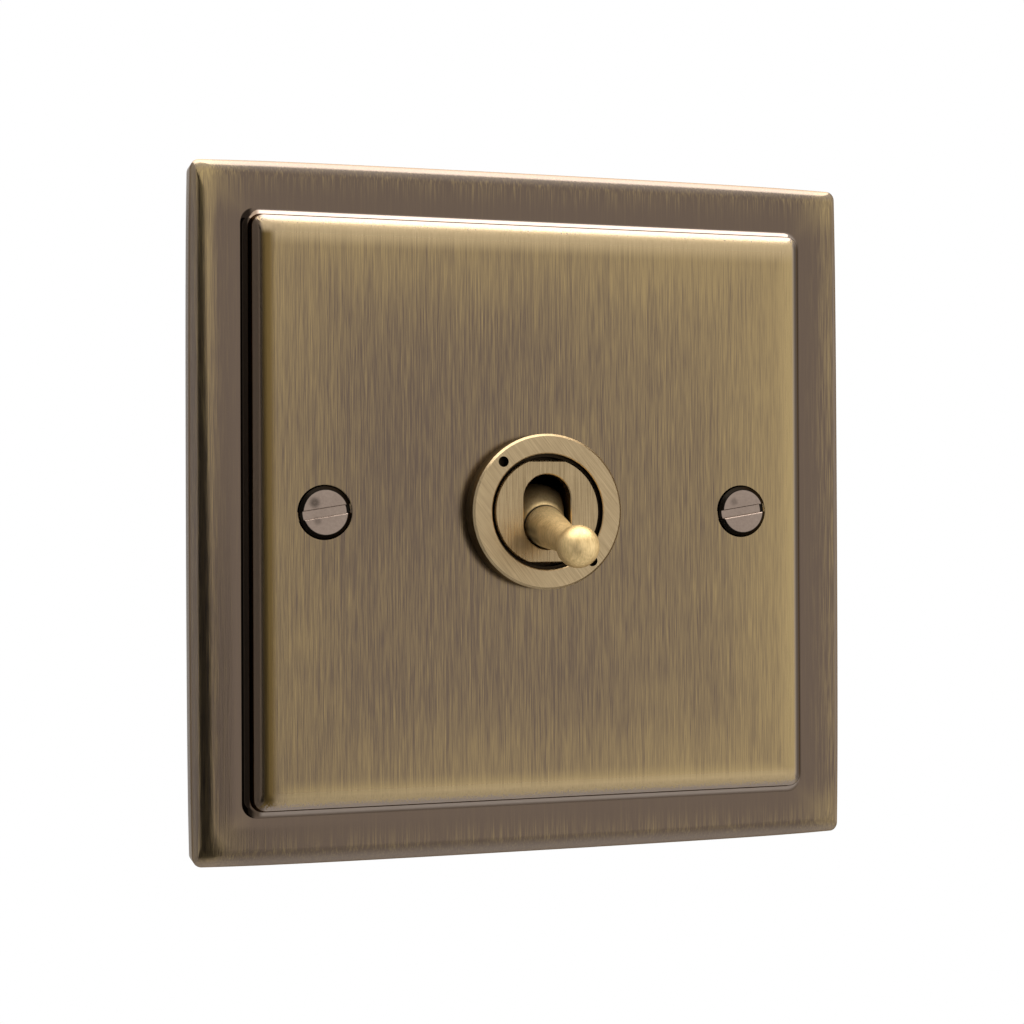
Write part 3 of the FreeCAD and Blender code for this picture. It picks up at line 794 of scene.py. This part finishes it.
@dataclass(frozen=True)
class Studio:
    """The camera, the lights, the pale floor and the cards beside the switch, in metres and radians."""

    camera_place: tuple[float, float, float] = (-0.0781817, -0.251521, -0.0012598)
    yaw: float = 0.2962
    pitch: float = 0.0049
    roll: float = -0.0045
    lens: float = 64.97
    sensor: float = 36.0
    matt_light: float = 0.78
    floor_z: float = -0.30
    floor_radius: float = 0.75
    floor_tones: tuple[Colour, Colour] = ((0.80, 0.80, 0.79), (0.84, 0.84, 0.83))
    lamps: tuple[Lamp, ...] = (
        Lamp("overhead_softbox", (0.05, 0.42, 0.65), (0.05, 0.42, 0.0), 1.1, 1.56, 3.3, LampRole.GLOSS),
        Lamp("key_softbox", (0.45, -0.75, 0.75), (0.0, 0.0, 0.0), 0.7, 0.7, 1.6, LampRole.SHAPE),
    )
    cards: tuple[Card, ...] = (
        Card("dark_card", (-0.1505, -0.392, -0.03), 0.32, 0.62, -21.0, 0.05, 0.30),
        Card("grey_card", (-0.262, 1.05, 0.0), 2.80, 0.80, 86.0, 0.68),
    )

    def set_camera(self) -> bpy.types.Object:
        """Place the camera where the photograph was taken from.

        Returns:
            The camera's object.
        """
        level = Vector((math.sin(self.yaw), math.cos(self.yaw), 0.0))
        side = Vector((math.cos(self.yaw), -math.sin(self.yaw), 0.0))
        up = Vector((0.0, 0.0, 1.0))
        ahead = level * math.cos(self.pitch) + up * math.sin(self.pitch)
        above = up * math.cos(self.pitch) - level * math.sin(self.pitch)
        across = side * math.cos(self.roll) + above * math.sin(self.roll)
        upward = above * math.cos(self.roll) - side * math.sin(self.roll)
        data = bpy.data.cameras.new("camera")
        data.lens = self.lens
        data.sensor_width = self.sensor
        data.sensor_fit = "HORIZONTAL"
        data.clip_start = 0.001
        camera = bpy.data.objects.new("camera", data)
        bpy.context.scene.collection.objects.link(camera)
        turn = Matrix((across, upward, -ahead)).transposed()
        camera.matrix_world = Matrix.Translation(self.camera_place) @ turn.to_4x4()
        bpy.context.scene.camera = camera
        return camera

    def set_world(self) -> None:
        """A white surround for the eye and for gloss, and a softer one for matt surfaces."""
        world = bpy.data.worlds.new("studio")
        world.use_nodes = True
        nodes, links = world.node_tree.nodes, world.node_tree.links
        nodes.clear()
        output = nodes.new("ShaderNodeOutputWorld")
        shader = nodes.new("ShaderNodeBackground")
        rays = nodes.new("ShaderNodeLightPath")
        seen = nodes.new("ShaderNodeMath")
        seen.operation = "MAXIMUM"
        links.new(rays.outputs["Is Camera Ray"], seen.inputs[0])
        links.new(rays.outputs["Is Glossy Ray"], seen.inputs[1])
        seen_through = nodes.new("ShaderNodeMath")
        seen_through.operation = "MAXIMUM"
        links.new(seen.outputs[0], seen_through.inputs[0])
        links.new(rays.outputs["Is Transmission Ray"], seen_through.inputs[1])
        strength = nodes.new("ShaderNodeMapRange")
        strength.inputs["To Min"].default_value = self.matt_light
        strength.inputs["To Max"].default_value = 1.0
        links.new(seen_through.outputs[0], strength.inputs["Value"])
        links.new(strength.outputs[0], shader.inputs["Strength"])
        shader.inputs["Color"].default_value = (1.0, 1.0, 1.0, 1.0)
        links.new(shader.outputs[0], output.inputs["Surface"])
        bpy.context.scene.world = world

    def lay_floor(self) -> bpy.types.Object:
        """Lay the round pale floor.

        Returns:
            The floor's object.
        """
        mesh = bmesh.new()
        bmesh.ops.create_circle(mesh, cap_ends=True, segments=96, radius=self.floor_radius)
        bmesh.ops.translate(mesh, verts=mesh.verts, vec=(0.0, 0.0, self.floor_z))
        floor = self.as_stage(mesh, "floor")
        tree = ShaderTree("pale_floor")
        wash = tree.noise(tree.mapped((0.004, 0.004, 0.004)), 3.0, 0.5)
        tone = tree.mix(wash, *self.floor_tones)
        floor.data.materials.append(tree.finish(Base_Color=tone, Roughness=0.7))
        return floor

    def stand_card(self, card: Card) -> bpy.types.Object:
        """Stand a card beside the switch, out of the camera's sight.

        Args:
            card: Its place, size and tone.

        Returns:
            The card's object.
        """
        mesh = bmesh.new()
        bmesh.ops.create_grid(mesh, x_segments=1, y_segments=2, size=0.5)
        bmesh.ops.rotate(mesh, verts=mesh.verts, cent=(0, 0, 0), matrix=STAND)
        bmesh.ops.scale(mesh, verts=mesh.verts, vec=(card.width, 1.0, card.height))
        tip = max(mesh.verts, key=lambda vert: vert.co.x + vert.co.z)
        bmesh.ops.translate(mesh, verts=[tip], vec=(-card.lean, 0.0, 0.0))
        turn = Matrix.Rotation(math.radians(card.bearing), 3, "Z")
        bmesh.ops.rotate(mesh, verts=mesh.verts, cent=(0, 0, 0), matrix=turn)
        bmesh.ops.translate(mesh, verts=mesh.verts, vec=card.place)
        piece = self.as_stage(mesh, card.name)
        tree = ShaderTree(card.name)
        piece.data.materials.append(tree.finish(Base_Color=(card.tone, card.tone, card.tone), Roughness=0.9))
        piece.visible_camera = False
        return piece

    def as_stage(self, mesh: bmesh.types.BMesh, name: str) -> bpy.types.Object:
        """Make a bmesh into an object of the stage.

        Args:
            mesh: The shape, freed here.
            name: The object's name.

        Returns:
            The object.
        """
        data = bpy.data.meshes.new(name)
        mesh.to_mesh(data)
        mesh.free()
        piece = bpy.data.objects.new(name, data)
        bpy.context.scene.collection.objects.link(piece)
        return piece

    def build(self) -> None:
        """Set the whole studio."""
        scene = bpy.context.scene
        scene.view_settings.view_transform = "Standard"
        self.set_camera()
        self.set_world()
        self.lay_floor()
        for card in self.cards:
            self.stand_card(card)
        for lamp in self.lamps:
            lamp.hang()
        log.info("studio set, %d lamps", len(self.lamps))


def dress(node: str, material: bpy.types.Material) -> None:
    """Give a node that is kept its material.

    Args:
        node: The node's name.
        material: Its material.
    """
    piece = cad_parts[node]
    for slot in piece.material_slots:
        slot.material = material
    log.info("node %s takes %s", node, material.name)


class Shape:
    """A bmesh in millimetres, with the few shapes that this switch is made of."""

    def __init__(self) -> None:
        """Start with nothing."""
        self.mesh = bmesh.new()

    def square_ring(
        self, half: float, corner: float, y: float, bow: float = 0.0, steps: int = 10, side_steps: int = 24
    ) -> Loop:
        """A loop round a square with round corners, in the plane at y.

        Args:
            half: Half the square's side.
            corner: The radius of its corners.
            y: The plane.
            bow: How far the sides fall back towards the corners, as a share; most of it is near the corners.
            steps: Segments in each corner.
            side_steps: Segments in each side.

        Returns:
            The loop's edges.
        """
        verts = bmesh.ops.create_grid(self.mesh, x_segments=1, y_segments=1, size=half)["verts"]
        bmesh.ops.rotate(self.mesh, verts=verts, cent=(0, 0, 0), matrix=STAND)
        bmesh.ops.translate(self.mesh, verts=verts, vec=(0, y, 0))
        cut = bmesh.ops.bevel(
            self.mesh, geom=verts, offset=corner, offset_type="OFFSET",
            segments=steps, profile=0.5, affect="VERTICES", material=-1,
        )
        faces = {face for vert in cut["verts"] for face in vert.link_faces}
        face = max(faces, key=lambda face: len(face.verts))
        long = [edge for edge in face.edges if edge.calc_length() > half]
        bmesh.ops.subdivide_edges(self.mesh, edges=long, cuts=side_steps - 1)
        edges = list(face.edges)
        bmesh.ops.delete(self.mesh, geom=[face], context="FACES_ONLY")
        for vert in {vert for edge in edges for vert in edge.verts}:
            x, z = vert.co.x, vert.co.z
            vert.co.x = x * (1 - bow * ((z / half) ** 2 + (z / half) ** 6))
            vert.co.z = z * (1 - bow * ((x / half) ** 2 + 1.8 * (x / half) ** 6))
        return edges

    def circle(self, radius: float, y: float, x: float = 0.0, steps: int = 96) -> Loop:
        """A loop round a circle on the middle line, in the plane at y.

        Args:
            radius: Its radius.
            y: The plane.
            x: The centre's place along the plate.
            steps: Its segments.

        Returns:
            The loop's edges.
        """
        verts = bmesh.ops.create_circle(self.mesh, cap_ends=False, segments=steps, radius=radius)["verts"]
        bmesh.ops.rotate(self.mesh, verts=verts, cent=(0, 0, 0), matrix=STAND)
        bmesh.ops.translate(self.mesh, verts=verts, vec=(x, y, 0))
        return list({edge for vert in verts for edge in vert.link_edges})

    def wall(self, loops: list[Loop]) -> None:
        """Join each loop to the next."""
        for first, second in zip(loops, loops[1:]):
            bmesh.ops.bridge_loops(self.mesh, edges=first + second)

    def pane(self, loops: list[Loop]) -> None:
        """Fill the flat space between an outer loop and the holes on its middle line.

        Args:
            loops: The outer loop and the holes' loops; each has a point at either end of the middle line.
        """
        ends = []
        for edges in loops:
            verts = {vert for edge in edges for vert in edge.verts if abs(vert.co.z) < MERGE}
            ends += [min(verts, key=lambda v: v.co.x), max(verts, key=lambda v: v.co.x)]
        ends.sort(key=lambda v: v.co.x)
        middle = [self.mesh.edges.new(ends[i:i + 2]) for i in range(0, len(ends), 2)]
        for way in (1, -1):
            half = [
                edge for edges in loops for edge in edges
                if way * (edge.verts[0].co.z + edge.verts[1].co.z) > 1e-5
            ]
            bmesh.ops.contextual_create(self.mesh, geom=half + middle)

    def piece(
        self, name: str, body: str, slot: str, material: bpy.types.Material, replaced: tuple[str, ...] = ()
    ) -> bpy.types.Object:
        """Close the shape, and make it a piece of the switch.

        Args:
            name: The piece's name.
            body: The body that it rides on.
            slot: The record's material slot; not used.
            material: Its finish.
            replaced: The nodes that it stands for.

        Returns:
            The piece.
        """
        bmesh.ops.remove_doubles(self.mesh, verts=self.mesh.verts, dist=MERGE)
        bmesh.ops.recalc_face_normals(self.mesh, faces=self.mesh.faces)
        bmesh.ops.scale(self.mesh, verts=self.mesh.verts, vec=(MM, MM, MM))
        data = bpy.data.meshes.new(name)
        self.mesh.to_mesh(data)
        self.mesh.free()
        data.shade_smooth()
        data.set_sharp_from_angle(angle=math.radians(SHARP))
        data.materials.append(material)
        made = bpy.data.objects.new(name, data)
        bpy.context.scene.collection.objects.link(made)
        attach(made, body)
        if replaced:
            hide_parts(*replaced)
        log.info("piece %s: %d faces", name, len(data.polygons))
        return made


@dataclass(frozen=True)
class StepPlate:
    """The pressed plate: a soft-edged frame, a cove, and a raised panel with its holes, in millimetres.

    The shoulder and the cove are arcs, each with its radius and the tilt in degrees where it ends. The screw
    lip gives how much wider than the countersink it is, and how far below the panel.
    """

    finish: bpy.types.Material
    half: float = 47.5
    corner: float = 1.1
    inner_corner: float = 3.2
    frame_face: float = -5.4
    rim_wide: float = 2.7
    rim_deep: float = 1.3
    bow: float = 0.003
    panel_face: float = -8.65
    panel_flat: float = 37.65
    flat_corner: float = 1.0
    corner_growth: float = 0.35
    steep: float = 83.0
    shoulder: tuple[tuple[float, float], ...] = ((2.5, 18.0), (2.9, 42.0), (0.6, 83.0))
    cove: tuple[tuple[float, float], ...] = ((0.5, 42.0), (2.2, 18.0), (0.4, 0.0))
    back: float = -6.65
    back_round: float = 0.4
    back_break: float = 0.12
    frame_back: float = -3.4
    frame_inner: float = 45.5
    panel_inner: float = 37.65
    bush_hole: float = 7.6
    screw_place: float = 30.15
    countersink: float = 3.72
    screw_lip: tuple[tuple[float, float], ...] = (
        (0.25, 0.0), (0.03, HAIR), (-0.02, 0.012), (-0.07, 0.040), (-0.12, 0.085)
    )
    screw_hole: float = 2.15
    arc_steps: int = 9
    face_steps: int = 8
    rim_steps: int = 14

    def arc(self, place: tuple[float, float], radius: float, first: float, last: float) -> list:
        """The points of an arc that leans from one tilt to another, in degrees from the plate's plane.

        Args:
            place: Half side and depth at its start.
            radius: Its radius; a hollow arc goes from the steep end to the flat one.
            first: The tilt at its start.
            last: The tilt at its end.

        Returns:
            Half side and depth of each point after the first.
        """
        half, depth = place
        sign = 1 if last > first else -1
        begin = math.radians(first)
        points = []
        for step in range(1, self.arc_steps + 1):
            tilt = math.radians(first + (last - first) * step / self.arc_steps)
            along = sign * radius * (math.sin(tilt) - math.sin(begin))
            down = sign * radius * (math.cos(begin) - math.cos(tilt))
            points.append((half + along, depth + down))
        return points

    def panel_edge(self) -> list[tuple[float, ...]]:
        """The stations of the panel's soft edge, its slope and the cove: half side, corner, y."""
        points = [(self.panel_flat - 0.8, 0.0), (self.panel_flat, 0.0)]
        tilt = 0.0
        for radius, end in self.shoulder:
            points += self.arc(points[-1], radius, tilt, end)
            tilt = end
        foot = [(0.0, 0.0)]
        for radius, end in self.cove:
            foot += self.arc(foot[-1], radius, tilt, end)
            tilt = end
        fall = self.frame_face - self.panel_face - points[-1][1] - foot[-1][1]
        run = fall / math.tan(math.radians(self.steep))
        half, depth = points[-1]
        points += [(half + run + along, depth + fall + down) for along, down in foot]
        return [
            (half, self.flat_corner + self.corner_growth * (half - self.panel_flat), self.panel_face + depth)
            for half, depth in points
        ]

    def rim(self) -> list[tuple[float, ...]]:
        """The stations of the frame's face and soft edge, to its back: half side, corner, y, bow."""
        start = self.half - self.rim_wide
        inner, corner, _ = self.panel_edge()[-1]
        stations = [(inner + 0.04, corner, self.frame_face, 0.0)]
        for step in range(1, self.face_steps + 1):
            part = step / self.face_steps
            stations.append((
                inner + (start - 0.1 - inner) * part,
                corner + (self.inner_corner - corner) * part,
                self.frame_face,
                self.bow * part,
            ))
        for step in range(self.rim_steps + 1):
            turn = math.radians(90 * step / self.rim_steps)
            stations.append((
                start + self.rim_wide * math.sin(turn),
                self.inner_corner + (self.corner - self.inner_corner) * math.sin(turn),
                self.frame_face + self.rim_deep * (1 - math.cos(turn)),
                self.bow,
            ))
        for less, y in ((0.0, -0.2), (0.06, -0.06), (0.2, 0.0)):
            stations.append((self.half - less, self.corner, y, self.bow))
        return stations

    def hollow(self) -> list[tuple[float, ...]]:
        """The stations of the hollow back, from the rim to the back of the panel."""
        frame_wall, panel_wall = self.frame_inner, self.panel_inner
        soft, crisp = self.back_round, self.back_break
        return [
            (frame_wall + 0.2, 1.5, 0.0, self.bow),
            (frame_wall, 1.5, -0.2, self.bow),
            (frame_wall, 1.5, self.frame_back + soft, self.bow),
            (frame_wall - crisp, 1.5, self.frame_back + crisp, self.bow),
            (frame_wall - soft, 1.5, self.frame_back, self.bow),
            (frame_wall - 2.0, 1.6, self.frame_back),
            (frame_wall - 3.5, 1.7, self.frame_back),
            (frame_wall - 5.0, 1.8, self.frame_back),
            (frame_wall - 6.4, 1.9, self.frame_back),
            (panel_wall + soft, 1.9, self.frame_back),
            (panel_wall + crisp, 1.6, self.frame_back - crisp),
            (panel_wall, 1.5, self.frame_back - soft),
            (panel_wall, 1.5, self.back + soft),
            (panel_wall - crisp, 1.4, self.back + crisp),
            (panel_wall - soft, 1.2, self.back),
            (panel_wall - 1.0, 1.2, self.back),
        ]

    def screw_seat(self, shape: Shape, x: float) -> list[Loop]:
        """Cut a countersunk hole.

        Args:
            shape: The plate's shape.
            x: The hole's place along the plate.

        Returns:
            The hole's first and last loop.
        """
        loops = [
            shape.circle(self.countersink + wider, self.panel_face + deeper, x)
            for wider, deeper in self.screw_lip
        ]
        wider, deeper = self.screw_lip[-1]
        cone = self.countersink + wider - self.screw_hole
        loops.append(shape.circle(self.screw_hole, self.panel_face + deeper + cone, x))
        loops.append(shape.circle(self.screw_hole, self.back, x))
        shape.wall(loops)
        return [loops[0], loops[-1]]

    def build(self) -> bpy.types.Object:
        """Make the plate.

        Returns:
            The piece.
        """
        shape = Shape()
        rings = [
            shape.square_ring(half, corner, y + HAIR * (count % 2), *bow)
            for count, (half, corner, y, *bow) in enumerate(self.panel_edge() + self.rim() + self.hollow())
        ]
        shape.wall(rings)
        bush = [shape.circle(self.bush_hole, y) for y in (self.panel_face, self.back)]
        shape.wall(bush)
        seats = [self.screw_seat(shape, side * self.screw_place) for side in (-1, 1)]
        shape.pane([rings[0], bush[0]] + [seat[0] for seat in seats])
        shape.pane([rings[-1], bush[-1]] + [seat[-1] for seat in seats])
        return shape.piece("step_plate", "switch_body", "plate_brass", self.finish, ("front_plate",))


@dataclass(frozen=True)
class SwitchBody:
    """Every part that is kept as it was drawn, and its finish."""

    shelf: FinishShelf

    def build(self) -> None:
        """Dress the nodes."""
        shelf = self.shelf
        for material, nodes in (
            (shelf.ring, ("ring_nut",)),
            (shelf.bush, ("bush",)),
            (shelf.dolly, ("dolly",)),
            (shelf.bronze, ("fixing_screws",)),
            (shelf.spring, ("plunger_spring",)),
            (shelf.black, ("housing_cover",)),
            (shelf.white, ("housing_base",)),
            (shelf.silver, ("moving_tips", "fixed_tips")),
            (shelf.zinc, ("lock_washer", "yoke", "pivot_pin", "terminal_screws", "earth_screw")),
            (shelf.contact, ("plunger", "rocking_contact", "common_cradle")),
            (shelf.contact, ("upper_contact", "lower_contact", "earth_terminal")),
            (shelf.contact, ("common_terminal", "upper_terminal", "lower_terminal")),
        ):
            for node in nodes:
                dress(node, material)


def main() -> None:
    """Build the scene, class by class."""
    logging.basicConfig(level=logging.INFO)
    Studio().build()
    shelf = FinishShelf()
    StepPlate(shelf.plate).build()
    SwitchBody(shelf).build()


if __name__ == "__main__":
    main()
